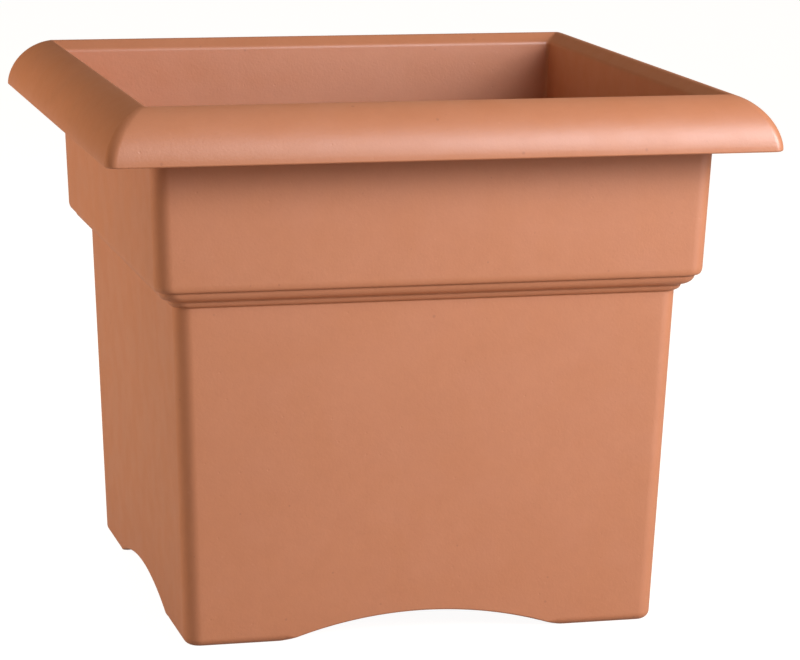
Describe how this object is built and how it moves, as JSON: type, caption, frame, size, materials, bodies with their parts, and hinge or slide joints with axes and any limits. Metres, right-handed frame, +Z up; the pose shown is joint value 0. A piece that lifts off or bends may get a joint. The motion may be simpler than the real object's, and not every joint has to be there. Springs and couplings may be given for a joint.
{
  "type": "square planter box",
  "caption": "Square resin planter box with a rolled rim, a plain collar, a stepped moulding, tapered sides, arched corner feet and lift-out drain plugs.",
  "frame": {"origin": "on the ground, under the middle of the planter", "axes": "+Z up; -Y is the front of the picture, +X its right; all four sides are alike"},
  "size_m": [0.381, 0.381, 0.31],
  "materials": {
    "terracotta_resin": "matt moulded resin in a terracotta colour, lightly mottled",
    "plug_rubber": "soft matt black rubber"
  },
  "bodies": {
    "planter": {"planter_shell": "terracotta_resin"},
    "plug_front": {"drain_plug_front": "plug_rubber"},
    "plug_right": {"drain_plug_right": "plug_rubber"},
    "plug_back": {"drain_plug_back": "plug_rubber"},
    "plug_left": {"drain_plug_left": "plug_rubber"}
  },
  "joints": [
    {"name": "lift_plug_front", "type": "slide", "parent": "planter", "child": "plug_front", "axis": [0, 0, 1], "range_m": [0, 0.06]},
    {"name": "lift_plug_right", "type": "slide", "parent": "planter", "child": "plug_right", "axis": [0, 0, 1], "range_m": [0, 0.06]},
    {"name": "lift_plug_back", "type": "slide", "parent": "planter", "child": "plug_back", "axis": [0, 0, 1], "range_m": [0, 0.06]},
    {"name": "lift_plug_left", "type": "slide", "parent": "planter", "child": "plug_left", "axis": [0, 0, 1], "range_m": [0, 0.06]}
  ]
}
